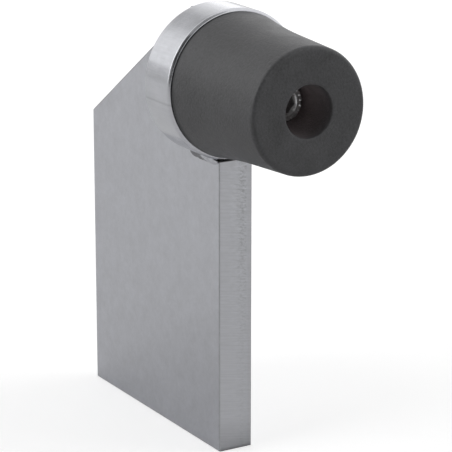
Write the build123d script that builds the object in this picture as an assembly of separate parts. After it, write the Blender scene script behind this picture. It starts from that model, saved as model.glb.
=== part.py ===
from build123d import *
import math
import os

# Gate stop for welding on: a flat steel plate stands on its edge, a turned steel disc
# is welded into the notch at its upper front corner, and a flared rubber buffer is
# screwed to the front of the disc.
#
# Millimetres. X runs across the thickness of the plate, -Y points at the gate that is
# stopped and +Z up. The origin is the middle of the plate's lower edge, the foot.

# Plate, cut from flat steel
plate_thickness = 10.0
plate_depth = 70.0
plate_back_height = 80.0
plate_edge_break = 0.3

# Notch for the disc: the height of its seat above the foot
seat_height = 80.0

# Buffer disc, turned from round bar
disc_diameter = 40.0
disc_thickness = 12.5
disc_front_chamfer = 0.6
disc_back_chamfer = 0.45

# Tapped hole of the disc, drawn at the outside diameter of the thread
thread_diameter = 6.0
thread_clearance = 0.05
tapped_hole_countersink = 0.5

# Weld beads along the seat and up the back of the disc
bead_leg_on_plate = 1.2
bead_leg_on_disc = 1.8
bead_root = 1.0
bead_bulge = 0.15
bead_setback = 0.6

# Rubber buffer, whose base lies just inside the chamfer of the disc
buffer_length = 35.0
buffer_chamfer_margin = 0.1
buffer_base_edge_break = 0.3
buffer_tip_diameter = 33.0
buffer_flare_length = 18.0
buffer_tip_draft = 3.0
buffer_tip_round = 1.2
counterbore_clearance = 0.75
counterbore_edge_break = 0.4
buffer_floor_thickness = 16.4
screw_hole_clearance = 0.25

# Flat washer on the floor of the counterbore, wider than the screw's head
washer_overhang = 1.0
washer_thickness = 1.6
washer_hole_clearance = 0.2
washer_edge_break = 0.2

# Socket head cap screw
head_diameter = 10.0
head_height = 6.0
head_edge_break = 0.5
knurl_count = 30
knurl_depth = 0.25
knurl_margin = 0.8
socket_width = 5.0
socket_depth = 3.0
socket_countersink = 0.55
socket_countersink_angle = 120.0
socket_drill_angle = 120.0
screw_end_gap = 5.5
screw_end_break = 0.7

# Places that follow from the sizes above
foot_front = -plate_depth / 2
foot_back = plate_depth / 2
plate_side = plate_thickness / 2
plate_top = seat_height + disc_diameter
notch_back = foot_front + disc_thickness
axis_height = seat_height + disc_diameter / 2
disc_radius = disc_diameter / 2
shank_radius = thread_diameter / 2
head_radius = head_diameter / 2
washer_radius = head_radius + washer_overhang
counterbore_radius = washer_radius + counterbore_clearance
washer_bearing = buffer_floor_thickness + washer_thickness

# On this plane a turned outline is drawn as (radius, distance in front of the disc).
turning_plane = Plane(origin=(0, foot_front, axis_height), x_dir=(0, 0, 1), z_dir=(1, 0, 0))
turning_axis = Axis((0, foot_front, axis_height), (0, -1, 0))


def turned(*outline):
    """Turn the face that a closed outline bounds about the buffer's axis."""
    return revolve(turning_plane * make_face(list(outline)), turning_axis)


def plate_corners():
    """The corners of the plate if it had no notch, from the foot's front round its back."""
    return [
        (foot_front, 0),
        (foot_back, 0),
        (foot_back, plate_back_height),
        (notch_back, plate_top),
        (foot_front, plate_top),
    ]


def make_plate():
    """The outline with its notch and slanted back, extruded both ways from the middle."""
    corners = plate_corners()[:-1] + [(notch_back, seat_height), (foot_front, seat_height)]
    face = Plane.YZ * make_face(Polyline(*corners, close=True))
    body = extrude(face, amount=plate_side, both=True)

    def is_outside(edge):
        """True on the outline of a broad face, apart from the notch that is welded."""
        middle = edge.center()
        on_broad_face = math.isclose(abs(middle.X), plate_side, abs_tol=1e-6)
        on_seat = math.isclose(middle.Z, seat_height, abs_tol=1e-6) and middle.Y < notch_back
        on_notch_back = math.isclose(middle.Y, notch_back, abs_tol=1e-6) and middle.Z > seat_height
        return on_broad_face and not on_seat and not on_notch_back

    return chamfer(body.edges().filter_by(is_outside), plate_edge_break)


def make_buffer_disc():
    """A turned disc, chamfered front and back, with a tapped hole right through its middle."""
    hole = shank_radius + thread_clearance
    outline = Polyline(
        (hole, -disc_thickness),
        (disc_radius - disc_back_chamfer, -disc_thickness),
        (disc_radius, -disc_thickness + disc_back_chamfer),
        (disc_radius, -disc_front_chamfer),
        (disc_radius - disc_front_chamfer, 0),
        (hole + tapped_hole_countersink, 0),
        (hole, -tapped_hole_countersink),
        close=True,
    )
    return turned(outline)


def disc_underside(x):
    """The height of the disc's skin over the foot, a distance x beside its axis."""
    return axis_height - math.sqrt(disc_radius**2 - x**2)


def bead_face(start, end):
    """The slightly crowned face of a bead, from one toe to the other."""
    return SagittaArc(start, end, bead_bulge)


def seat_bead(toe, front, back):
    """The bead under the disc, which also fills the narrow wedge between disc and seat."""
    root = plate_side - bead_root
    middle = (toe + root) / 2
    plate_toe = (plate_side, seat_height - bead_leg_on_plate)
    disc_toe = (toe, disc_underside(toe))
    disc_root = (root, disc_underside(root))
    section = [
        bead_face(plate_toe, disc_toe),
        ThreePointArc(disc_toe, (middle, disc_underside(middle)), disc_root),
        Polyline(disc_root, (root, seat_height), (plate_side, seat_height), plate_toe),
    ]
    section_plane = Plane(origin=(0, front, 0), x_dir=(1, 0, 0), z_dir=(0, -1, 0))
    bead = extrude(section_plane * make_face(section), amount=front - back)
    plate_behind_notch = Pos(0, back, seat_height) * Box(
        plate_thickness, 2 * bead_leg_on_plate, plate_thickness
    )
    return bead - plate_behind_notch


def back_bead(toe, back):
    """The bead in the corner of disc and plate, ended by the disc's rim and the slant."""
    section = [
        Polyline((toe, notch_back), (plate_side, notch_back), (plate_side, back)),
        bead_face((plate_side, back), (toe, notch_back)),
    ]
    bead = extrude(make_face(section), amount=plate_top)
    within_rim = Pos(0, back, axis_height) * Rot(90, 0, 0) * Cylinder(disc_radius, disc_thickness)
    under_slant = extrude(Plane.YZ * make_face(Polyline(*plate_corners(), close=True)), amount=toe)
    return bead & within_rim & under_slant


def make_weld(side):
    """One L-shaped bead: along the seat under the disc, then up the disc's back face."""
    toe = plate_side + bead_leg_on_disc
    front = foot_front + bead_setback
    back = notch_back + bead_leg_on_plate
    bead = seat_bead(toe, front, back) + back_bead(toe, back)
    return bead if side > 0 else mirror(bead, Plane.YZ)


def make_rubber_buffer():
    """A moulded buffer: concave flare from its base, straight draft to a rounded tip, and
    a counterbored hole with a bevelled mouth.
    """
    base = disc_radius - disc_front_chamfer - buffer_chamfer_margin
    tip = buffer_tip_diameter / 2
    hole = shank_radius + screw_hole_clearance
    flare_start = (base, buffer_base_edge_break)
    shaft_end = buffer_length - buffer_tip_round
    draft = math.tan(math.radians(buffer_tip_draft))
    waist = (tip + draft * (shaft_end - buffer_flare_length), buffer_flare_length)
    face_outer = tip - buffer_tip_round
    face_inner = counterbore_radius + counterbore_edge_break
    return turned(
        Polyline((hole, 0), (base - buffer_base_edge_break, 0), flare_start),
        TangentArc(waist, flare_start, tangent=(draft, -1)),
        Line(waist, (tip, shaft_end)),
        CenterArc((face_outer, shaft_end), buffer_tip_round, 0, 90),
        Polyline(
            (face_outer, buffer_length),
            (face_inner, buffer_length),
            (counterbore_radius, buffer_length - counterbore_edge_break),
            (counterbore_radius, buffer_floor_thickness),
            (hole, buffer_floor_thickness),
            (hole, 0),
        ),
    )


def make_washer():
    """A flat washer with its outer edge broken on the side that the head bears on."""
    hole = shank_radius + washer_hole_clearance
    outline = Polyline(
        (hole, buffer_floor_thickness),
        (washer_radius, buffer_floor_thickness),
        (washer_radius, washer_bearing - washer_edge_break),
        (washer_radius - washer_edge_break, washer_bearing),
        (hole, washer_bearing),
        close=True,
    )
    return turned(outline)


def make_cap_screw():
    """A socket head cap screw: turned, then knurled, then its hexagon socket broached."""
    head_face = washer_bearing + head_height
    end = screw_end_gap - disc_thickness
    blank = turned(
        Polyline(
            (0, end),
            (shank_radius - screw_end_break, end),
            (shank_radius, end + screw_end_break),
            (shank_radius, washer_bearing),
            (head_radius, washer_bearing),
            (head_radius, head_face - head_edge_break),
            (head_radius - head_edge_break, head_face),
            (0, head_face),
            close=True,
        )
    )

    half_pitch = math.pi * head_radius / knurl_count
    vee = Polyline(
        (head_radius - knurl_depth, 0),
        (head_radius + knurl_depth, -half_pitch),
        (head_radius + knurl_depth, half_pitch),
        close=True,
    )
    knurl_start = foot_front - washer_bearing - knurl_margin
    knurl_plane = Plane(origin=(0, knurl_start, axis_height), x_dir=(0, 0, 1), z_dir=(0, -1, 0))
    groove = extrude(knurl_plane * make_face(vee), amount=head_height)
    turn = 360 / knurl_count
    knurl = [groove.rotate(turning_axis, index * turn) for index in range(knurl_count)]

    socket_inner_radius = socket_width / 2
    socket_corner_radius = socket_width / math.sqrt(3)
    socket_floor = head_face - socket_depth
    drill_point = socket_inner_radius / math.tan(math.radians(socket_drill_angle / 2))
    socket_plane = Plane(
        origin=(0, foot_front - head_face, axis_height), x_dir=(0, 0, 1), z_dir=(0, 1, 0)
    )
    hexagon = extrude(socket_plane * RegularPolygon(socket_corner_radius, 6), amount=socket_depth)
    drilled_end = turned(
        Polyline(
            (0, socket_floor),
            (socket_inner_radius, socket_floor),
            (0, socket_floor - drill_point),
            close=True,
        )
    )
    mouth_radius = socket_corner_radius + socket_countersink
    cone_depth = mouth_radius / math.tan(math.radians(socket_countersink_angle / 2))
    countersink = turned(
        Polyline((0, head_face), (mouth_radius, head_face), (0, head_face - cone_depth), close=True)
    )
    return blank - knurl - hexagon - drilled_end - countersink


def main():
    """Write one file for each piece of the gate stop."""
    os.makedirs("parts", exist_ok=True)
    pieces = {
        "plate": make_plate(),
        "buffer_disc": make_buffer_disc(),
        "weld_left": make_weld(-1),
        "weld_right": make_weld(1),
        "rubber_buffer": make_rubber_buffer(),
        "flat_washer": make_washer(),
        "cap_screw": make_cap_screw(),
    }
    for name, piece in pieces.items():
        export_step(piece, os.path.join("parts", name + ".step"))


main()
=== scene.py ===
"""A weld-on gate stop: steel plate on edge, turned disc in its notch, flared rubber buffer.

Everything is in metres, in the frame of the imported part: +Z up, the buffer points to -Y,
and the origin is the middle of the plate's lower edge.
"""

import math

import bmesh
import bpy
import numpy as np
from mathutils import Matrix, Vector


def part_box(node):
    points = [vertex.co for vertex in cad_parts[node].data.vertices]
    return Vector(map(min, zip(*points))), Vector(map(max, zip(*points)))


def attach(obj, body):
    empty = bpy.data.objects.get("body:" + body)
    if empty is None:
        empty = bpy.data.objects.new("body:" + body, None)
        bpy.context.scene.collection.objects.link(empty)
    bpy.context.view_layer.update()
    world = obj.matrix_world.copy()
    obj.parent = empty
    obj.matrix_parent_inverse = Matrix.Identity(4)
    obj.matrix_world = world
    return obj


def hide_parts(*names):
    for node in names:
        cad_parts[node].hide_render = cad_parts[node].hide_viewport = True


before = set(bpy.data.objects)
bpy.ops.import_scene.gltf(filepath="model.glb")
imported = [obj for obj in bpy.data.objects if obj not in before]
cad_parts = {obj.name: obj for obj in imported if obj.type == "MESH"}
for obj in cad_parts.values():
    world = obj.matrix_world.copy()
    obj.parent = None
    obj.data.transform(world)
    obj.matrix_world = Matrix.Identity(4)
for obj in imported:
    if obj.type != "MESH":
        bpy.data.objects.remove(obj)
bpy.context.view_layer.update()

mm = 0.001

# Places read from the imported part
plate_low, plate_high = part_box("plate")
disc_low, disc_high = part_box("buffer_disc")
buffer_low, buffer_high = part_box("rubber_buffer")
washer_low, washer_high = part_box("flat_washer")
screw_low, screw_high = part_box("cap_screw")
bead_low, bead_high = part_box("weld_right")

disc_radius = (disc_high.x - disc_low.x) / 2
disc_thickness = disc_high.y - disc_low.y
axis_height = (disc_low.z + disc_high.z) / 2
disc_front = disc_low.y
disc_back = disc_high.y
seat_height = disc_low.z
plate_side = plate_high.x
plate_top = plate_high.z

# Plate: its peak is ground off, and drag lines lag across the laser-cut edges
plate_back_height = 80 * mm
plate_edge_round = 0.3 * mm
peak_break = 1.2 * mm
drag_lag = 1.65 * mm
fine_drag_pitches = np.array([0.43, 0.61, 0.97]) * mm
fine_drag_depth = 0.008 * mm
coarse_drag_pitches = np.array([1.3, 2.1, 3.7]) * mm
coarse_drag_depth = 0.02 * mm

# Disc
disc_front_chamfer = 0.6 * mm
disc_back_chamfer = 0.45 * mm
disc_corner_round = 0.28 * mm
disc_hole = 3.05 * mm
dark_line_turn = math.radians(-99)

# Weld beads
bead_leg_on_plate = 1.2 * mm
bead_stop = 2.2 * mm
bead_bulge = 0.15 * mm
bead_start = 0.02 * mm
bead_end_length = 0.9 * mm
bead_root = 0.5 * mm
bead_corner_round = 0.7 * mm
bead_corner_length = 1.1 * mm
ripple_pitch = 0.8 * mm
ripple_lag = 0.45 * mm
ripple_height = 0.09 * mm
uneven_pitches = np.array([1.7, 3.1, 5.3]) * mm

# Rubber buffer
base_slit_depth = 0.5 * mm
base_slit_height = 0.25 * mm
base_round = 0.25 * mm
base_round_start_degrees = -70
# Reach of the painted shade along the rubber's base, in its crevice against the disc
painted_shade_reach = 1.2 * mm
# Reach of the pale dust and painted light in the rubber's bore
bore_dust_and_light_reach = 15 * mm
flare_length = 18 * mm
tip_radius = 16.5 * mm
tip_round = 1.2 * mm
tip_draft = math.tan(math.radians(3))
bore_radius = 6.75 * mm
bore_mouth = 0.4 * mm
screw_hole = 3.25 * mm
skin_wander = 0.04 * mm
skin_waves_per_turn = np.array([2.0, 3.0, 5.0, 9.0])
base_sink = 0.16 * mm
base_sink_reach = 6 * mm
base_sink_turn = math.radians(60)

# Washer
washer_hole = 3.2 * mm
washer_round = 0.2 * mm

# Screw: thread, knurled head with burrs at its rim, and countersunk hexagon socket
shank_radius = 3 * mm
screw_end_break = 0.7 * mm
thread_pitch = 1 * mm
thread_depth = 0.61 * mm
thread_crest = 0.125
thread_flank = 0.625
plain_shank = 2 * mm
thread_fade = 1.5 * mm
head_round = 0.5 * mm
knurl_count = 30
knurl_depth = 0.25 * mm
knurl_margin = 0.8 * mm
burr_count = 20
burr_phase = math.radians(280)
burr_height = 0.27 * mm
# Angle of the burrs worn bright, painted where the glints fall
glint_turn = math.radians(80)
socket_width = 5 * mm
socket_depth = 3 * mm
socket_countersink = 0.45 * mm
socket_turn = math.radians(10)

# Radii and distances in front of the disc, from the frame and the sizes above
buffer_base = (buffer_high.x - buffer_low.x) / 2
buffer_length = buffer_high.y - buffer_low.y
washer_radius = (washer_high.x - washer_low.x) / 2
washer_back = disc_front - washer_high.y
washer_bearing = disc_front - washer_low.y
head_radius = (screw_high.x - screw_low.x) / 2
head_face = disc_front - screw_low.y
screw_end = disc_front - screw_high.y
thread_end = washer_bearing - plain_shank
socket_corner = socket_width / math.sqrt(3)
bevel_radius = socket_corner + socket_countersink
bevel_slope = math.tan(math.radians(30))
socket_mouth = head_face - socket_countersink * bevel_slope
socket_floor = head_face - socket_depth


# Shared tools for meshes

def add_piece(name, points, faces, materials, face_materials=None, sharp_degrees=32):
    """A closed mesh object from a point array and a list of faces, with outward normals.
    Polygons of more than four sides stay flat.
    """
    mesh = bpy.data.meshes.new(name)
    mesh.from_pydata(points.reshape(-1, 3).tolist(), [], faces)
    for material in materials:
        mesh.materials.append(material)
    if face_materials is not None:
        mesh.polygons.foreach_set("material_index", np.asarray(face_materials, dtype=np.int32))
    merged = bmesh.new()
    merged.from_mesh(mesh)
    bmesh.ops.remove_doubles(merged, verts=merged.verts, dist=0.0005 * mm)
    bmesh.ops.recalc_face_normals(merged, faces=merged.faces)
    merged.to_mesh(mesh)
    merged.free()
    mesh.set_sharp_from_angle(angle=math.radians(sharp_degrees))
    sides = np.zeros(len(mesh.polygons), dtype=np.int32)
    mesh.polygons.foreach_get("loop_total", sides)
    mesh.polygons.foreach_set("use_smooth", sides <= 4)
    piece = bpy.data.objects.new(name, mesh)
    bpy.context.scene.collection.objects.link(piece)
    return piece


def grid_faces(rows, columns, closed_rows, closed_columns):
    """Quads between neighbouring points of a rows by columns grid, as index arrays."""
    row = np.arange(rows if closed_rows else rows - 1)
    column = np.arange(columns if closed_columns else columns - 1)
    row, column = np.meshgrid(row, column, indexing="ij")
    next_row = (row + 1) % rows * columns
    next_column = (column + 1) % columns
    row = row * columns
    quads = [row + column, row + next_column, next_row + next_column, next_row + column]
    return np.stack(quads, -1).reshape(-1, 4)


def around_axis(radius, forward, angle):
    """Points turned about the buffer's axis: x is the radius times the angle's sine, z the
    axis height plus the radius times its cosine, and y goes forward from the disc's face.
    """
    radius, forward, angle = np.broadcast_arrays(radius, forward, angle)
    return np.stack(
        [radius * np.sin(angle), disc_front - forward, axis_height + radius * np.cos(angle)], -1
    )


def full_turn(columns):
    """Evenly spaced angles round one turn, as a row."""
    return np.arange(columns)[None, :] * (2 * math.pi / columns)


def line(start, end, steps):
    """Points from start towards end, in even steps, without the end itself."""
    share = np.arange(steps)[:, None] / steps
    return np.asarray(start) * (1 - share) + np.asarray(end) * share


def arc(centre, radius, start_degrees, end_degrees, steps):
    """Points on a circle's arc in a turned outline, without the last one."""
    angle = np.radians(start_degrees + (end_degrees - start_degrees) * np.arange(steps) / steps)
    return np.asarray(centre) + radius * np.stack([np.cos(angle), np.sin(angle)], -1)


def waves(position, pitches, seed):
    """A sum of sine waves of unlike pitches and random phases, between about -1 and 1."""
    phases = np.random.RandomState(seed).uniform(0, 2 * math.pi, len(pitches))
    total = sum(np.sin(2 * math.pi * position / p + a) for p, a in zip(pitches, phases))
    return total / len(pitches)


def ease(value, start, end):
    """Rises smoothly from 0 at start to 1 at end."""
    share = np.clip((value - start) / (end - start), 0, 1)
    return share * share * (3 - 2 * share)


# Shared tools for materials

def add_math(tree, operation, first, second=None):
    """A math node, whose operands are sockets or numbers."""
    node = tree.nodes.new("ShaderNodeMath")
    node.operation = operation
    for index, operand in enumerate([first, second]):
        if operand is None:
            continue
        if isinstance(operand, (int, float)):
            node.inputs[index].default_value = operand
        else:
            tree.links.new(operand, node.inputs[index])
    return node.outputs[0]


def plus(tree, first, second):
    """The sum of two values."""
    return add_math(tree, "ADD", first, second)


def times(tree, first, second):
    """The product of two values."""
    return add_math(tree, "MULTIPLY", first, second)


def add_noise(tree, vector, scale, detail=3.0, roughness=0.5):
    """A noise texture on a vector, with its scale as a socket or a number."""
    node = tree.nodes.new("ShaderNodeTexNoise")
    node.inputs["Detail"].default_value = detail
    node.inputs["Roughness"].default_value = roughness
    tree.links.new(vector, node.inputs["Vector"])
    if isinstance(scale, (int, float)):
        node.inputs["Scale"].default_value = scale
    else:
        tree.links.new(scale, node.inputs["Scale"])
    return node.outputs[0]


def scaled(tree, vector, factors):
    """A vector with each part multiplied by its own factor."""
    node = tree.nodes.new("ShaderNodeVectorMath")
    node.operation = "MULTIPLY"
    tree.links.new(vector, node.inputs[0])
    if isinstance(factors, tuple):
        node.inputs[1].default_value = factors
    else:
        tree.links.new(factors, node.inputs[1])
    return node.outputs[0]


def measured(tree, vector, operation, way=(0, 0, 0)):
    """A vector's length, or by a dot product how far it reaches along a way."""
    node = tree.nodes.new("ShaderNodeVectorMath")
    node.operation = operation
    tree.links.new(vector, node.inputs[0])
    node.inputs[1].default_value = way
    return node.outputs["Value"]


def parts_of(tree, vector):
    """The parts X, Y and Z of a vector."""
    node = tree.nodes.new("ShaderNodeSeparateXYZ")
    tree.links.new(vector, node.inputs[0])
    return node.outputs


def object_position(tree):
    """The place on the object, in metres."""
    return tree.nodes.new("ShaderNodeTexCoord").outputs["Object"]


def place_off_axis(tree):
    """The place on the object, with its height counted from the buffer's axis."""
    node = tree.nodes.new("ShaderNodeVectorMath")
    node.operation = "SUBTRACT"
    tree.links.new(object_position(tree), node.inputs[0])
    node.inputs[1].default_value = (0, 0, axis_height)
    return node.outputs[0]


def own_attribute(tree, name):
    """The outputs for an attribute that the piece's own mesh holds."""
    node = tree.nodes.new("ShaderNodeAttribute")
    node.attribute_name = name
    return node.outputs


def ramp(tree, factor, low_colour, high_colour, low=0.3, high=0.7):
    """A colour that goes from one tone to another as a factor rises between two values."""
    node = tree.nodes.new("ShaderNodeValToRGB")
    node.color_ramp.elements[0].position = low
    node.color_ramp.elements[0].color = (*low_colour, 1)
    node.color_ramp.elements[1].position = high
    node.color_ramp.elements[1].color = (*high_colour, 1)
    tree.links.new(factor, node.inputs[0])
    return node.outputs[0]


def blend(tree, share, colour, plain_colour):
    """A socket's colour that goes over to a plain one as a share rises from 0 to 1."""
    node = tree.nodes.new("ShaderNodeMix")
    node.data_type = "RGBA"
    tree.links.new(share, node.inputs["Factor"])
    tree.links.new(colour, node.inputs[6])
    node.inputs[7].default_value = (*plain_colour, 1)
    return node.outputs[2]


def span(tree, factor, low, high, new_low, new_high):
    """A value mapped from one range to another, and held within it."""
    node = tree.nodes.new("ShaderNodeMapRange")
    node.clamp = True
    values = (low, high, new_low, new_high)
    for index, value in enumerate(values, start=1):
        node.inputs[index].default_value = value
    tree.links.new(factor, node.inputs[0])
    return node.outputs[0]


def add_bump(tree, shader, height, depth):
    """A bump whose full height range stands for a depth in metres."""
    node = tree.nodes.new("ShaderNodeBump")
    node.inputs["Distance"].default_value = depth
    tree.links.new(height, node.inputs["Height"])
    tree.links.new(node.outputs[0], shader.inputs["Normal"])


def new_group(name, inputs, outputs):
    """An empty shader node group with named float or vector sockets."""
    group = bpy.data.node_groups.new(name, "ShaderNodeTree")
    for socket, kind, value in inputs:
        made = group.interface.new_socket(socket, in_out="INPUT", socket_type=kind)
        if value is not None:
            made.default_value = value
    for socket, kind in outputs:
        group.interface.new_socket(socket, in_out="OUTPUT", socket_type=kind)
    return group


def make_grain_group():
    """Fine streaks and soft clouds. Stretch squeezes the streaks along each axis, so small
    numbers make long ones, and Cloud Scale sets how close together the clouds are.
    Streaks and Clouds lie between 0 and 1.
    """
    group = new_group(
        "steel_grain",
        [
            ("Position", "NodeSocketVector", None),
            ("Stretch", "NodeSocketVector", (1, 1, 1)),
            ("Cloud Scale", "NodeSocketFloat", 60.0),
        ],
        [("Streaks", "NodeSocketFloat"), ("Clouds", "NodeSocketFloat")],
    )
    source = group.nodes.new("NodeGroupInput")
    sink = group.nodes.new("NodeGroupOutput")
    stretched = scaled(group, source.outputs["Position"], source.outputs["Stretch"])
    coarse = add_noise(group, stretched, 900.0, 2.0)
    fine = add_noise(group, stretched, 3500.0, 2.0)
    clouds = add_noise(group, source.outputs["Position"], source.outputs["Cloud Scale"], 4.0, 0.6)
    streaks = plus(group, times(group, coarse, 0.6), times(group, fine, 0.4))
    group.links.new(streaks, sink.inputs["Streaks"])
    group.links.new(clouds, sink.inputs["Clouds"])
    return group


grain_group = make_grain_group()


def add_grain(tree, cloud_scale, stretch=(1, 1, 1)):
    """The streaks and the clouds of the shared grain group on the object's coordinates."""
    node = tree.nodes.new("ShaderNodeGroup")
    node.node_tree = grain_group
    node.inputs["Stretch"].default_value = stretch
    node.inputs["Cloud Scale"].default_value = cloud_scale
    tree.links.new(object_position(tree), node.inputs["Position"])
    return node.outputs["Streaks"], node.outputs["Clouds"]


def new_material(name, colour, metallic, roughness):
    """A principled material with its plain values set. Returns it, its tree and shader."""
    material = bpy.data.materials.new(name)
    material.use_nodes = True
    shader = material.node_tree.nodes["Principled BSDF"]
    shader.inputs["Base Color"].default_value = (*colour, 1)
    shader.inputs["Metallic"].default_value = metallic
    shader.inputs["Roughness"].default_value = roughness
    material.diffuse_color = (*colour, 1)
    return material, material.node_tree, shader


# Materials

def make_steel(name, dark, light, roughness, depth, stretch=(1, 1, 1), cloud_scale=60.0):
    """Steel with streaks along one way, cloudy tone and uneven gloss."""
    material, tree, shader = new_material(name, light, 1.0, sum(roughness) / 2)
    streaks, clouds = add_grain(tree, cloud_scale, stretch)
    tone = plus(tree, times(tree, streaks, 0.5), times(tree, clouds, 0.5))
    tree.links.new(ramp(tree, tone, dark, light), shader.inputs["Base Color"])
    tree.links.new(span(tree, clouds, 0.3, 0.7, *roughness), shader.inputs["Roughness"])
    add_bump(tree, shader, streaks, depth)
    return material


def shade(material, factor):
    """Multiply a material's colour by a value that its own nodes work out over the surface."""
    tree = material.node_tree
    base = tree.nodes["Principled BSDF"].inputs["Base Color"]
    tree.links.new(scaled(tree, base.links[0].from_socket, factor(tree)), base)


def along_slant(tree):
    """Darker on the edges of the slant, above the height of the plate's back."""
    height = parts_of(tree, object_position(tree))["Z"]
    return span(tree, height, plate_back_height, plate_back_height + 0.5 * mm, 1.0, 0.45)


def painted_shade_near_foot(tree):
    """Painted shade towards the foot, where the floor is near, most of all in its last millimetre.
    """
    height = parts_of(tree, object_position(tree))["Z"]
    gentle = span(tree, height, 0.0, 9 * mm, 0.76, 1.0)
    last = span(tree, height, 0.0, 0.9 * mm, 0.6, 1.0)
    return times(tree, gentle, last)


def along_dark_line(tree):
    """Darker along a faint line on the disc's left side, a little under its axis. The
    line lies where the way out from the axis at its angle meets the disc's side.
    """
    place = place_off_axis(tree)
    sine, cosine = math.sin(dark_line_turn), math.cos(dark_line_turn)
    off_line = add_math(tree, "ABSOLUTE", measured(tree, place, "DOT_PRODUCT", (cosine, 0, -sine)))
    outward = measured(tree, place, "DOT_PRODUCT", (sine, 0, cosine))
    dark = span(tree, off_line, 0.05 * mm, 0.5 * mm, 0.82, 1.0)
    elsewhere = span(tree, outward, disc_radius - 0.8 * mm, disc_radius - 0.5 * mm, 1.0, 0.0)
    return add_math(tree, "MAXIMUM", dark, elsewhere)


def make_cut_steel():
    """Laser-cut edge, in the cut's own coordinates: fine drag lines across the thickness,
    soft ripples from the middle on, and a strip of short dark scores short of the far side,
    strongest at the upper end. The seat in the notch is matt with welding scale.
    """
    dark, light = (0.53, 0.537, 0.561), (0.69, 0.698, 0.737)
    score_colour = (0.36, 0.365, 0.38)
    seat_colour = (0.4, 0.39, 0.385)
    material, tree, shader = new_material("cut_steel", (0.5, 0.505, 0.52), 1.0, 0.34)
    cut_place = own_attribute(tree, "cut_place")["Vector"]
    place = parts_of(tree, object_position(tree))
    share = span(tree, parts_of(tree, cut_place)["Y"], -plate_side, plate_side, 0.0, 1.0)
    upper = span(tree, place["Z"], 0.3 * seat_height, 0.95 * seat_height, 0.25, 1.0)

    drag_lines = add_noise(tree, scaled(tree, cut_place, (1, 0.04, 1)), 2600.0, 2.0)
    ripples = add_noise(tree, scaled(tree, cut_place, (1, 0.35, 1)), 1300.0, 2.0)
    ripple_start = span(tree, share, 0.2, 0.5, 0.25, 1.0)
    ripple_end = span(tree, share, 0.8, 0.88, 1.0, 0.15)
    rippled = times(tree, times(tree, ripple_start, ripple_end), upper)
    wave = times(tree, add_math(tree, "SUBTRACT", ripples, 0.5), rippled)
    height = plus(tree, times(tree, drag_lines, 0.5), wave)
    tone = add_math(tree, "SUBTRACT", height, span(tree, share, 0.8, 0.9, 0.0, 0.12))
    plain = ramp(tree, tone, dark, light, 0.0, 0.55)

    scores = add_noise(tree, scaled(tree, cut_place, (1, 0.4, 1)), 1900.0, 3.0, 0.6)
    strip_start = span(tree, share, 0.5, 0.66, 0.0, 1.0)
    strip_end = span(tree, share, 0.8, 0.86, 1.0, 0.0)
    strip = times(tree, times(tree, strip_start, strip_end), upper)
    scored = times(tree, span(tree, scores, 0.44, 0.68, 0.0, 0.8), strip)

    on_seat = span(tree, place["Z"], seat_height - 0.03 * mm, seat_height - 0.01 * mm, 0.0, 1.0)
    in_notch = span(tree, place["Y"], disc_back, disc_back + 0.05 * mm, 1.0, 0.0)
    seat = times(tree, on_seat, in_notch)
    colour = blend(tree, seat, blend(tree, scored, plain, score_colour), seat_colour)
    tree.links.new(colour, shader.inputs["Base Color"])
    tree.links.new(span(tree, seat, 0.0, 1.0, 1.0, 0.0), shader.inputs["Metallic"])
    tree.links.new(span(tree, scored, 0.0, 1.0, 0.32, 0.5), shader.inputs["Roughness"])
    add_bump(tree, shader, add_math(tree, "SUBTRACT", height, scored), 0.03 * mm)
    return material


def make_weld_steel():
    """Weld metal, bright where the torch left it clean and dark with scale towards the back,
    in uneven patches.
    """
    dark, light = (0.56, 0.567, 0.6), (0.78, 0.79, 0.83)
    scale_colour = (0.3, 0.3, 0.31)
    scale_start = disc_front + 5.5 * mm
    scale_full = disc_front + 8.5 * mm
    material, tree, shader = new_material("weld_steel", (0.5, 0.505, 0.53), 1.0, 0.4)
    streaks, clouds = add_grain(tree, 500.0)
    patches = add_noise(tree, object_position(tree), 900.0, 5.0, 0.7)
    back_place = parts_of(tree, object_position(tree))["Y"]
    behind = span(tree, back_place, scale_start, scale_full, -0.12, 0.3)
    scale = span(tree, plus(tree, patches, behind), 0.48, 0.68, 0.0, 1.0)
    colour = blend(tree, scale, ramp(tree, clouds, dark, light), scale_colour)
    tree.links.new(colour, shader.inputs["Base Color"])
    tree.links.new(span(tree, scale, 0.0, 1.0, 0.32, 0.55), shader.inputs["Roughness"])
    add_bump(tree, shader, plus(tree, patches, streaks), 0.04 * mm)
    return material


def make_screw_zinc():
    """Zinc plating that has gone dull: dusty in the socket and on the head's face, bright on
    the upper part of the socket's bevel, and worn to pale crests at the rim's right side, which
    are wear and painted glints where light catches the burrs.
    Dust and wear are the screw's own attributes.
    """
    dark, light = (0.65, 0.65, 0.66), (0.9, 0.9, 0.91)
    dust_colour = (0.2, 0.19, 0.19)
    worn_glint_colour = (0.95, 0.95, 0.96)
    material, tree, shader = new_material("screw_zinc", (0.6, 0.6, 0.61), 1.0, 0.3)
    streaks, clouds = add_grain(tree, 700.0)
    dust = own_attribute(tree, "dust")["Fac"]
    wear = own_attribute(tree, "wear")["Fac"]
    dusty = blend(tree, dust, ramp(tree, clouds, dark, light), dust_colour)
    tree.links.new(blend(tree, wear, dusty, worn_glint_colour), shader.inputs["Base Color"])
    matt = add_math(tree, "SUBTRACT", dust, wear)
    tree.links.new(span(tree, matt, 0.0, 1.0, 1.0, 0.0), shader.inputs["Metallic"])
    tree.links.new(span(tree, clouds, 0.3, 0.7, 0.22, 0.4), shader.inputs["Roughness"])
    add_bump(tree, shader, streaks, 0.03 * mm)
    return material


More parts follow.
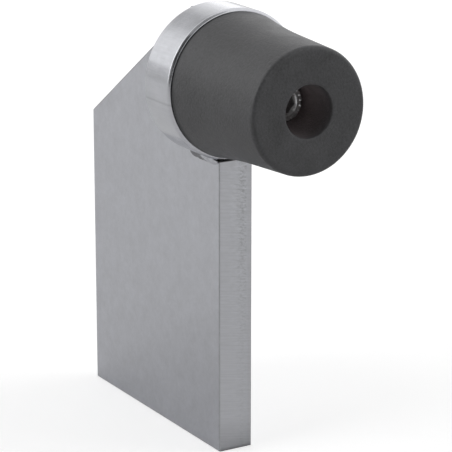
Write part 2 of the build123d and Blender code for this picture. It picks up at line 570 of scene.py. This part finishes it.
def make_rubber():
    """Matt moulded rubber: near black, mottled, with a fine pebbled skin. A pale warm colour in
    the bore, more of it further in, is dust and painted light that lifts the bore's dark inside.
    Along the base it is darker, reaching further on the lower side: painted shade in the
    crevice against the disc.
    """
    dark, light = (0.04, 0.04, 0.042), (0.074, 0.0745, 0.0785)
    dust_colour = (0.58, 0.5, 0.51)
    painted_shade_tone = 0.4
    lower_painted_shade = 0.8 * mm
    material, tree, shader = new_material("rubber", (0.045, 0.045, 0.047), 0.0, 0.5)
    mottle = add_noise(tree, object_position(tree), 160.0, 5.0, 0.65)
    pebble = add_noise(tree, object_position(tree), 1500.0, 3.0, 0.65)
    place = parts_of(tree, object_position(tree))
    reach = measured(tree, scaled(tree, place_off_axis(tree), (1, 0, 1)), "LENGTH")

    skin = plus(tree, times(tree, mottle, 0.5), times(tree, pebble, 0.5))
    plain = ramp(tree, skin, dark, light, 0.36, 0.64)
    # Pale dust and painted light in the bore, rising further in, where less light reaches
    inside = span(tree, reach, bore_radius, bore_radius + 0.15 * mm, 1.0, 0.0)
    deep = span(tree, place["Y"], buffer_low.y, buffer_low.y + bore_dust_and_light_reach, 0.02, 1.0)
    dusty = blend(tree, times(tree, inside, deep), plain, dust_colour)

    # Painted shade along the base, in the crevice against the disc, reaching further on the lower
    # side
    low, high = axis_height - 12 * mm, axis_height + 2 * mm
    from_base = plus(tree, place["Y"], span(tree, place["Z"], low, high, lower_painted_shade, 0.0))
    start, full = disc_front - painted_shade_reach, disc_front - 0.4 * painted_shade_reach
    painted_base_shade = span(tree, from_base, start, full, 1.0, painted_shade_tone)
    tree.links.new(scaled(tree, dusty, painted_base_shade), shader.inputs["Base Color"])
    tree.links.new(span(tree, mottle, 0.3, 0.7, 0.38, 0.54), shader.inputs["Roughness"])
    add_bump(tree, shader, plus(tree, pebble, times(tree, mottle, 0.5)), 0.11 * mm)
    return material


plate_steel = make_steel(
    "plate_steel",
    dark=(0.54, 0.547, 0.578),
    light=(0.645, 0.653, 0.692),
    roughness=(0.29, 0.4),
    depth=0.03 * mm,
    cloud_scale=260.0,
)
edge_steel = make_steel(
    "edge_steel",
    dark=(0.4, 0.405, 0.422),
    light=(0.52, 0.526, 0.55),
    roughness=(0.35, 0.45),
    depth=0.01 * mm,
)
turned_steel = make_steel(
    "turned_steel",
    dark=(0.58, 0.587, 0.618),
    light=(0.69, 0.698, 0.736),
    roughness=(0.16, 0.24),
    depth=0.012 * mm,
    stretch=(1, 0.06, 1),
    cloud_scale=260.0,
)
zinc_plate = make_steel(
    "zinc_plate",
    dark=(0.5, 0.5, 0.51),
    light=(0.65, 0.65, 0.66),
    roughness=(0.18, 0.3),
    depth=0.03 * mm,
    cloud_scale=400.0,
)
weld_steel = make_weld_steel()
screw_zinc = make_screw_zinc()
cut_steel = make_cut_steel()
rubber = make_rubber()
shade(edge_steel, along_slant)
shade(cut_steel, painted_shade_near_foot)
shade(turned_steel, along_dark_line)


# Pieces

def stand_for(piece, node):
    """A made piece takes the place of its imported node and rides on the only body."""
    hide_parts(node)
    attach(piece, "root")


def plate_path():
    """The plate's outline as (forward and back, height) corners, with its peak ground off
    behind the disc, and for each corner the way in which an inward offset of one moves it.
    """
    slope = (plate_high.y - disc_back) / (plate_top - plate_back_height)
    corners = np.array([
        (plate_low.y, 0),
        (plate_high.y, 0),
        (plate_high.y, plate_back_height),
        (disc_back + slope * peak_break, plate_top - peak_break),
        (disc_back, plate_top - peak_break),
        (disc_back, seat_height),
        (plate_low.y, seat_height),
    ])
    side = np.roll(corners, -1, axis=0) - corners
    side /= np.linalg.norm(side, axis=1, keepdims=True)
    inward = np.stack([-side[:, 1], side[:, 0]], -1)
    before = np.roll(inward, 1, axis=0)
    return corners, (before + inward) / (1 + np.sum(before * inward, axis=1, keepdims=True))


def through_thickness(across):
    """How far a place lies through the plate's thickness, from 0 to 1 at the far side."""
    return (across + plate_side) / (2 * plate_side)


def lagged(along, across):
    """The place along the cut at which a drag line entered: it lags towards the far side."""
    return along - drag_lag * through_thickness(across)


def cut_relief(along, across):
    """How deep the laser cut lies under its crests. The drag lines run across the
    thickness, grow coarser towards the far side, and fade at both edges.
    """
    entered = lagged(along, across)
    fine = 0.5 + 0.5 * waves(entered, fine_drag_pitches, 3)
    coarse = 0.5 + 0.5 * waves(entered, coarse_drag_pitches, 4)
    coarse = coarse * ease(through_thickness(across), 0.45, 0.95)
    edge_fade = ease(plate_side - np.abs(across), 0, 0.9 * mm)
    return edge_fade * (fine_drag_depth * fine + coarse_drag_depth * coarse)


def make_plate():
    """The cut band is a grid: along the outline by across the thickness. Across it, each
    row is set inward by the quarter round of the edges and by the relief of the cut, which
    fades at the outline's corners. Each broad face is one flat polygon inside the rounds.
    """
    corners, inward = plate_path()
    step = 0.12 * mm
    corner_fade = 0.6 * mm
    round_steps = 4
    flat_points = 15
    quarter = np.radians(np.linspace(0, 90, round_steps + 1))
    round_across = plate_side - plate_edge_round * (1 - np.sin(quarter))
    round_inset = plate_edge_round * (1 - np.cos(quarter))
    flat_across = np.linspace(-round_across[0], round_across[0], flat_points)[1:-1]
    across = np.concatenate([-round_across[::-1], flat_across, round_across])
    inset = np.concatenate([round_inset[::-1], 0 * flat_across, round_inset])
    bands = []
    cut_places = []
    travelled = 0.0
    ends, inward_ends = np.roll(corners, -1, axis=0), np.roll(inward, -1, axis=0)
    for start, end, start_in, end_in in zip(corners, ends, inward, inward_ends):
        length = np.linalg.norm(end - start)
        share = np.linspace(0, 1, int(length / step) + 1)[:-1, None]
        along = travelled + share * length
        fade = ease(share * length, 0, corner_fade) * ease((1 - share) * length, 0, corner_fade)
        depth = (inset[None, :] + fade * cut_relief(along, across[None, :]))[..., None]
        share = share[..., None]
        place = (1 - share) * (start + depth * start_in) + share * (end + depth * end_in)
        level = np.broadcast_to(across[None, :, None], depth.shape)
        bands.append(np.concatenate([level, place], -1))
        entered = lagged(along, across[None, :])[..., None]
        cut_places.append(np.concatenate([entered, level, 0 * level], -1))
        travelled += length
    points = np.concatenate(bands)
    rows, width = points.shape[:2]
    band = grid_faces(rows, width, True, False)
    rim = np.arange(rows) * width
    faces = band.tolist() + [rim.tolist(), (rim[::-1] + width - 1).tolist()]
    column = band[:, 0] % width
    is_round = (column < round_steps) | (column >= width - 1 - round_steps)
    slots = np.concatenate([np.where(is_round, 2, 1), [0, 0]])
    plate = add_piece("laser_cut_plate", points, faces, [plate_steel, cut_steel, edge_steel], slots)
    cut_place = plate.data.attributes.new("cut_place", "FLOAT_VECTOR", "POINT")
    cut_place.data.foreach_set("vector", np.concatenate(cut_places).ravel())
    stand_for(plate, "plate")


def turned_piece(name, outline, columns, material, change=None):
    """A turned solid: each point of a closed (radius, forward) outline goes round the axis.
    A change function may move the radius by place and angle.
    """
    outline = np.vstack(outline)
    angle = full_turn(columns)
    radius = outline[:, :1] + 0 * angle
    forward = outline[:, 1:] + 0 * angle
    if change is not None:
        radius = change(radius, forward, angle)
    faces = grid_faces(len(outline), columns, True, True).tolist()
    return add_piece(name, around_axis(radius, forward, angle), faces, [material])


def chamfered_corner(width, outward, face):
    """The outline over one chamfered rim of the disc, from the disc's side to its face, as
    two short arcs of 45 degrees that ease the chamfer's corners. Outward is 1 for the
    front rim and -1 for the back.
    """
    ease_length = disc_corner_round * math.tan(math.radians(45 / 2))
    side_centre = (disc_radius - disc_corner_round, face - outward * (width + ease_length))
    face_centre = (disc_radius - width - ease_length, face - outward * disc_corner_round)
    end = np.array([(disc_radius - width - ease_length, face)])
    return np.vstack([
        arc(side_centre, disc_corner_round, 0, 45 * outward, 4),
        arc(face_centre, disc_corner_round, 45 * outward, 90 * outward, 4),
        end,
    ])


def make_disc():
    """A turned disc: a chamfered rim front and back, and the hole right through."""
    back = -disc_thickness
    front_rim = chamfered_corner(disc_front_chamfer, 1, 0)
    back_rim = chamfered_corner(disc_back_chamfer, -1, back)[::-1]
    outline = [
        line((disc_hole, back), back_rim[0], 12),
        back_rim,
        line(back_rim[-1], front_rim[0], 16)[1:],
        front_rim,
        line(front_rim[-1], (disc_hole, 0), 12)[1:],
        line((disc_hole, 0), (disc_hole, back), 8),
    ]
    disc = turned_piece("turned_disc", outline, 360, turned_steel)
    stand_for(disc, "buffer_disc")


def skin_of_buffer(radius, forward, angle):
    """The rubber's skin sinks by up to a fifth of a millimetre: by waves round it, and more at
    the upper left of the base, which sits off centre.
    """
    turns = waves(angle / (2 * math.pi), 1 / skin_waves_per_turn, 5)
    outside = ease(radius, tip_radius - 1.5 * mm, tip_radius - 0.5 * mm)
    at_base = 1 - ease(forward, base_slit_height + base_round, base_sink_reach)
    sunk_side = 0.5 + 0.5 * np.cos(angle + base_sink_turn)
    sunk = skin_wander * (0.5 + 0.5 * turns) + base_sink * at_base * sunk_side
    return radius - outside * sunk


def make_buffer():
    """A rounded base edge that stands a little off the disc, a concave flare as a parabola
    tangent to the straight draft, a rounded tip and a counterbored hole.
    """
    flare_steps = 40
    shaft_end = buffer_length - tip_round
    waist_radius = tip_radius + tip_draft * (shaft_end - flare_length)
    base_edge = base_slit_height + base_round
    flare_back = flare_length - base_edge
    back = flare_back * (1 - np.arange(flare_steps) / flare_steps)
    spare = buffer_base - waist_radius - tip_draft * flare_back
    rise = spare * (back / flare_back) ** 2
    flare = np.stack([waist_radius + tip_draft * back + rise, flare_length - back], -1)
    floor = washer_back
    outline = [
        line((screw_hole, 0), (buffer_base - base_slit_depth, 0), 10),
        line((buffer_base - base_slit_depth, 0), (buffer_base - base_round, base_slit_height), 6),
        arc((buffer_base - base_round, base_edge), base_round, base_round_start_degrees, 0, 6),
        flare,
        line((waist_radius, flare_length), (tip_radius, shaft_end), 30),
        arc((tip_radius - tip_round, shaft_end), tip_round, 0, 90, 10),
        line((tip_radius - tip_round, buffer_length), (bore_radius + bore_mouth, buffer_length), 12),
        arc((bore_radius + bore_mouth, buffer_length - bore_mouth), bore_mouth, 90, 180, 6),
        line((bore_radius, buffer_length - bore_mouth), (bore_radius, floor), 30),
        line((bore_radius, floor), (screw_hole, floor), 6),
        line((screw_hole, floor), (screw_hole, 0), 10),
    ]
    buffer = turned_piece("moulded_buffer", outline, 360, rubber, skin_of_buffer)
    stand_for(buffer, "rubber_buffer")


def make_washer():
    """A punched flat washer: rounded where the punch went in, square on the other side."""
    outline = [
        line((washer_hole, washer_back), (washer_radius, washer_back), 6),
        line((washer_radius, washer_back), (washer_radius, washer_bearing - washer_round), 4),
        arc((washer_radius - washer_round, washer_bearing - washer_round), washer_round, 0, 90, 4),
        line((washer_radius - washer_round, washer_bearing), (washer_hole, washer_bearing), 8),
        line((washer_hole, washer_bearing), (washer_hole, washer_back), 4),
    ]
    washer = turned_piece("plated_washer", outline, 180, zinc_plate)
    stand_for(washer, "flat_washer")


def cut_thread(radius, forward, angle):
    """The thread is a trapezoid wave of the forward place minus the turned angle, so that it
    climbs one pitch a turn. Crest and flank are shares of half a pitch, and the rest is root.
    It fades out towards the head, and the screw's end is broken.
    """
    turn = forward / thread_pitch - angle / (2 * math.pi)
    wave = np.abs(2 * (turn % 1) - 1)
    cut = thread_depth * np.clip((wave - thread_crest) / thread_flank, 0, 1)
    cut = cut * (1 - ease(forward, thread_end - thread_fade, thread_end))
    on_shank = (radius > 0.9 * shank_radius) & (forward < thread_end + 0.1 * mm)
    broken = shank_radius - screw_end_break + forward - screw_end
    broken = np.where(forward < washer_bearing, broken, radius)
    return np.minimum(radius - np.where(on_shank, cut, 0), broken)


def cut_knurl(radius, forward, angle):
    """The knurl takes a vee out of the head's side at every count."""
    groove = np.abs(2 * ((angle * knurl_count / (2 * math.pi)) % 1) - 1)
    vee = knurl_depth * np.clip(1 - 2 * groove, 0, 1)
    on_side = ease(forward, washer_bearing + 0.6 * knurl_margin, washer_bearing + knurl_margin)
    near_rim = ease(radius, head_radius - head_round, head_radius - 0.5 * head_round)
    return radius - vee * on_side * near_rim


def rim_burrs(turn):
    """How much of a burr stands at each angle round the head's rim, from 0 to 1."""
    return ease(np.cos(burr_count * turn - burr_phase), 0.2, 0.9)


def raise_burrs(radius, forward, angle):
    """A burr is a small peak on the rim of the head's face: a long slope inside it, a short
    one outside.
    """
    peak = head_radius - head_round
    inner_length = 0.9 * head_round
    outer_length = 0.4 * head_round
    inner = (radius - peak + inner_length) / inner_length
    outer = (peak + outer_length - radius) / outer_length
    burr = np.clip(np.minimum(inner, outer), 0, 1)
    on_rim = ease(forward, head_face - 0.6 * head_round, head_face - 0.2 * head_round)
    return forward + burr_height * burr * on_rim * rim_burrs(angle)


def screw_outline():
    """The screw's outline from its end over the shank and the head to the socket's bevel."""
    rows_per_pitch = 8
    thread_rows = int((thread_end - screw_end) / thread_pitch * rows_per_pitch)
    face_edge = head_radius - head_round
    burr_foot = head_radius - 2 * head_round
    return np.vstack([
        line((0, screw_end), (shank_radius, screw_end), 6),
        line((shank_radius, screw_end), (shank_radius, thread_end), thread_rows),
        line((shank_radius, thread_end), (shank_radius, washer_bearing), 3),
        line((shank_radius, washer_bearing), (head_radius, washer_bearing), 5),
        line((head_radius, washer_bearing), (head_radius, head_face - head_round), 16),
        arc((face_edge, head_face - head_round), head_round, 0, 90, 7),
        line((face_edge, head_face), (burr_foot, head_face), 5),
        line((burr_foot, head_face), (bevel_radius, head_face), 4),
        line((bevel_radius, head_face), (socket_corner, socket_mouth), 3),
    ])


def socket_rows(angle):
    """The radius and forward place of the socket's rows: its mouth, its hexagon, whose radius
    is half its width over the cosine of the angle from a flat's middle, and its drill point.
    """
    sixth = math.pi / 3
    flat = (angle - socket_turn + sixth / 2) % sixth - sixth / 2
    hexagon = socket_width / 2 / np.cos(flat)
    lip = socket_mouth - (socket_corner - hexagon) * bevel_slope
    drill_point = socket_floor - socket_width / 2 / math.tan(math.radians(60))
    middle = (socket_mouth + socket_floor) / 2
    half_way = (socket_floor + drill_point) / 2
    drilled = np.array([socket_width / 2 * 0.98, socket_width / 4, 0])[:, None]
    deep = np.array([middle, socket_floor, socket_floor, half_way, drill_point])[:, None]
    walls = [0 * angle + socket_corner, hexagon, hexagon, hexagon]
    radius = np.vstack([*walls, drilled + 0 * angle])
    forward = np.vstack([0 * angle + socket_mouth, lip, deep + 0 * angle])
    return radius, forward


def mark_screw(mesh):
    """Dust lies in the socket and on the head's face, and thickest on the lower part of the
    bevel between them. Wear shows on the burrs at the head's rim, on its right side alone, as
    painted glints where light catches them; the other burrs stay dusty.
    """
    socket_dust = 0.8
    face_dust = 0.8
    dust_fade = 0.2 * mm
    points = np.zeros(len(mesh.vertices) * 3)
    mesh.vertices.foreach_get("co", points)
    x, y, z = points.reshape(-1, 3).T
    up = z - axis_height
    reach = np.hypot(x, up)
    turn = np.arctan2(x, up)
    down = -np.cos(turn)
    forward = disc_front - y
    on_head = ease(forward, socket_floor - 2 * mm, socket_floor - 1.5 * mm)
    in_socket = 1 - ease(reach, socket_corner, socket_corner + dust_fade)
    low_bevel = 0.5 * ease(down, 0.12, 0.3) + 0.5 * ease(down, 0.6, 0.75)
    on_face = ease(reach, bevel_radius, bevel_radius + dust_fade)
    dusty = np.maximum(np.maximum(socket_dust * in_socket, low_bevel), face_dust * on_face)
    on_rim = ease(reach, head_radius - 2 * head_round, head_radius - 1.7 * head_round)
    on_rim = on_rim * ease(forward, head_face - 0.5 * head_round, head_face)
    # Painted glints: the burrs are worn bright only on the right side, where light catches them
    on_right = ease(np.cos(turn - glint_turn), 0.76, 0.86)
    for name, values in [("dust", on_head * dusty), ("wear", rim_burrs(turn) * on_rim * on_right)]:
        mesh.attributes.new(name, "FLOAT", "POINT").data.foreach_set("value", values)


def make_screw():
    """The whole screw is one grid, rows along its outline and down its socket by columns
    round the axis. The thread, the knurl and the burrs each move its points.
    """
    columns = 8 * knurl_count
    angle = full_turn(columns)
    outline = screw_outline()
    radius = outline[:, :1] + 0 * angle
    forward = outline[:, 1:] + 0 * angle
    radius = cut_thread(radius, forward, angle)
    radius = cut_knurl(radius, forward, angle)
    forward = raise_burrs(radius, forward, angle)
    socket_radius, socket_forward = socket_rows(angle)
    radius = np.vstack([radius, socket_radius])
    forward = np.vstack([forward, socket_forward])
    faces = grid_faces(len(radius), columns, False, True).tolist()
    screw = add_piece("knurled_cap_screw", around_axis(radius, forward, angle), faces, [screw_zinc])
    mark_screw(screw.data)
    stand_for(screw, "cap_screw")


def disc_underside(x):
    """The height of the disc's skin over the foot, a distance x beside its axis."""
    return axis_height - np.sqrt(disc_radius**2 - x**2)


def bead_path(climb):
    """A bead's path under the disc, round the corner and up the disc's back, as columns: the
    way travelled, the place, and the tilt. At the corner the place stays while the tilt turns
    by a quarter.
    """
    step = 0.1 * mm
    corner_rows = 16
    front = bead_low.y + bead_start
    seat_length = disc_back - front
    seat = np.arange(front, disc_back, step)
    corner = np.linspace(0, math.pi / 2, corner_rows)
    rise = np.arange(0, climb, step)[1:]
    way = [
        seat - front,
        seat_length + corner * bead_corner_round,
        seat_length + bead_corner_length + rise,
    ]
    y = [seat, 0 * corner + disc_back, 0 * rise + disc_back]
    z = [0 * seat + seat_height, 0 * corner + seat_height, rise + seat_height]
    tilt = [0 * seat, corner, 0 * rise + math.pi / 2]
    return [np.concatenate(values)[:, None] for values in (way, y, z, tilt)]


def make_weld(side):
    """A welded bead as a grid, rows along its path by columns round its section. Each row
    joins the toe on the plate to the toe on the disc by a crown, and ripples lag behind in
    the middle of the bead as the pool froze. Both ends shrink to a point like a quarter
    circle.
    """
    face_points = 13
    sideways, away = 0.55, 0.83
    reach = bead_high.x
    climb = bead_high.z - bead_stop - seat_height
    way, y, z, tilt = bead_path(climb)
    sine, cosine = np.sin(tilt), np.cos(tilt)
    uneven = 0.5 + 0.5 * waves(way, uneven_pitches, 6 + side)
    near_end = np.minimum(way, way[-1, 0] - way) / bead_end_length
    shrink = np.sqrt(np.clip(1 - (1 - np.clip(near_end, 0, 1)) ** 2, 0, 1))

    plate_leg = bead_leg_on_plate * (1 - 0.25 * uneven)
    plate_toe = np.stack([0 * y + plate_side, y + plate_leg * sine, z - plate_leg * cosine], -1)
    toe_x = plate_side + (reach - plate_side) * (1 - 0.2 * (1 - uneven))
    toe_low = disc_underside(reach)
    toe_z = toe_low + (seat_height + climb - toe_low) * (z - seat_height) / climb
    disc_toe = np.stack([toe_x, y, toe_z], -1)

    across = np.linspace(0, 1, face_points)[None, :]
    bow = 4 * across * (1 - across)
    ripple = np.abs(np.sin(math.pi * (way + ripple_lag * bow) / ripple_pitch))
    crown = bow * (bead_bulge * (0.7 + 0.3 * uneven) + ripple_height * ripple)
    outward = np.stack([0 * y + sideways, away * sine, -away * cosine], -1)
    chord = (1 - across[..., None]) * plate_toe + across[..., None] * disc_toe
    face = chord + crown[..., None] * outward
    corner = np.stack([0 * y + plate_side, y, z], -1)
    root = corner - np.array([bead_root, 0, 0])
    section = np.concatenate([face, root], axis=1)
    points = corner + (section - corner) * shrink[..., None]
    points[..., 0] *= side
    faces = grid_faces(len(way), section.shape[1], False, True).tolist()
    name, node = ("bead_right", "weld_right") if side > 0 else ("bead_left", "weld_left")
    bead = add_piece(name, points, faces, [weld_steel], sharp_degrees=60)
    stand_for(bead, node)


make_plate()
make_disc()
make_weld(-1)
make_weld(1)
make_buffer()
make_washer()
make_screw()


# Stage, lights and camera

def add_sheet(name, corners, material):
    """A flat sheet with four corners."""
    mesh = bpy.data.meshes.new(name)
    mesh.from_pydata(corners, [], [(0, 1, 2, 3)])
    mesh.materials.append(material)
    sheet = bpy.data.objects.new(name, mesh)
    bpy.context.scene.collection.objects.link(sheet)
    return sheet


def make_floor():
    """A wide pale floor. For the camera it glows a little, so that it shows white around
    the object and still takes its shadow.
    """
    half = 10.0
    glow_level = 0.5
    material, tree, shader = new_material("floor", (0.64, 0.64, 0.64), 0.0, 0.9)
    light_path = tree.nodes.new("ShaderNodeLightPath")
    shader.inputs["Emission Color"].default_value = (1, 1, 1, 1)
    glow = times(tree, light_path.outputs["Is Camera Ray"], glow_level)
    tree.links.new(glow, shader.inputs["Emission Strength"])
    corners = [(-half, -half, 0), (half, -half, 0), (half, half, 0), (-half, half, 0)]
    floor = add_sheet("floor", corners, material)


def make_world():
    """White for the camera and in reflections, and a softer grey as light on the object."""
    light_level = 0.6
    world = bpy.data.worlds.new("studio")
    bpy.context.scene.world = world
    world.use_nodes = True
    tree = world.node_tree
    background = tree.nodes["Background"]
    background.inputs["Color"].default_value = (1, 1, 1, 1)
    rays = tree.nodes.new("ShaderNodeLightPath").outputs
    seen = add_math(tree, "MAXIMUM", rays["Is Camera Ray"], rays["Is Glossy Ray"])
    seen = add_math(tree, "MAXIMUM", seen, rays["Is Transmission Ray"])
    strength = span(tree, seen, 0.0, 1.0, light_level, 1.0)
    tree.links.new(strength, background.inputs["Strength"])


def add_softbox(name, direction, distance, width, height, power):
    """A rectangular lamp that faces the buffer from a direction, and returns itself."""
    light = bpy.data.lights.new(name, "AREA")
    light.shape = "RECTANGLE"
    light.size = width
    light.size_y = height
    light.energy = power
    lamp = bpy.data.objects.new(name, light)
    bpy.context.scene.collection.objects.link(lamp)
    aim = Vector((0, -0.02, 0.08))
    way = Vector(direction).normalized()
    lamp.location = aim + way * distance
    lamp.rotation_euler = way.to_track_quat("Z", "Y").to_euler()
    return lamp


def make_card(name, azimuth, elevation, distance, half_width, half_height, middle_level, rim_level):
    """A flat card outside the picture that faces the buffer, for what the metal reflects.
    The azimuth is counted from +Y towards +X. The card glows at one level in its middle
    and eases to another at its rim, so that its reflection has soft edges. It is returned.
    """
    azimuth, elevation = math.radians(azimuth), math.radians(elevation)
    level = math.cos(elevation)
    toward = Vector((math.sin(azimuth) * level, math.cos(azimuth) * level, math.sin(elevation)))
    middle = Vector((0, disc_front, axis_height)) + toward * distance
    sideways = Vector((0, 0, 1)).cross(toward).normalized()
    across = sideways * half_width
    upward = toward.cross(sideways) * half_height
    signs = [(-1, -1), (1, -1), (1, 1), (-1, 1)]

    material, tree, shader = new_material(name, (0, 0, 0), 0.0, 1.0)
    place = tree.nodes.new("ShaderNodeTexCoord").outputs["UV"]
    glow = tree.nodes.new("ShaderNodeMapRange")
    glow.interpolation_type = "SMOOTHSTEP"
    tree.links.new(measured(tree, place, "LENGTH"), glow.inputs[0])
    glow.inputs["To Min"].default_value = middle_level
    glow.inputs["To Max"].default_value = rim_level
    shader.inputs["Emission Color"].default_value = (1, 1, 1, 1)
    tree.links.new(glow.outputs[0], shader.inputs["Emission Strength"])

    card = add_sheet(name, [middle + across * u + upward * v for u, v in signs], material)
    card.data.uv_layers.new(name="card").data.foreach_set("uv", np.ravel(signs).astype(float))
    card.visible_camera = False
    return card


def make_camera():
    """The camera stands where the photograph was taken from, aimed by azimuth and height."""
    azimuth = math.radians(-30.8)
    elevation = math.radians(16.16)
    distance = 0.6614
    aim = Vector((17.94 * mm, 0, 50.88 * mm))
    level = math.cos(elevation)
    back = Vector((math.sin(azimuth) * level, -math.cos(azimuth) * level, math.sin(elevation)))
    right = Vector((math.cos(azimuth), math.sin(azimuth), 0))
    up = back.cross(right)
    data = bpy.data.cameras.new("camera")
    data.sensor_width = 36
    data.lens = 188.9
    data.clip_start = 0.05
    data.clip_end = 30
    camera = bpy.data.objects.new("camera", data)
    bpy.context.scene.collection.objects.link(camera)
    turn = Matrix((right, up, back)).transposed().to_4x4()
    camera.matrix_world = Matrix.Translation(aim + back * distance) @ turn
    bpy.context.scene.camera = camera


make_floor()
make_world()
make_card("grey_card", 4, 36, 0.9, 0.46, 0.32, middle_level=0.43, rim_level=0.97)
make_card("low_card", -36, 2.5, 0.9, 0.25, 0.07, middle_level=0.6, rim_level=0.6)
edge_card = make_card("edge_card", -80, 33, 0.9, 0.45, 0.42, middle_level=3.0, rim_level=1.6)
edge_card.visible_diffuse = False
edge_card.visible_shadow = False
make_card("camera_card", 223, 30, 0.85, 0.52, 0.56, middle_level=0.02, rim_level=0.07)
make_card("overhead_card", 195, 68, 0.85, 0.4, 0.25, middle_level=0.22, rim_level=0.4)
add_softbox("back_right", (0.55, 0.81, 0.21), 1.0, 0.38, 0.24, power=0.12)
upper_left = add_softbox("upper_left", (-0.75, 0, 0.6), 1.5, 1.2, 1.2, power=10.0)
right_side = add_softbox("right_side", (0.8, -0.3, 0.55), 1.5, 1.2, 1.2, power=7.5)
upper_left.visible_glossy = False
right_side.visible_glossy = False
make_camera()
bpy.context.scene.view_settings.view_transform = "Standard"
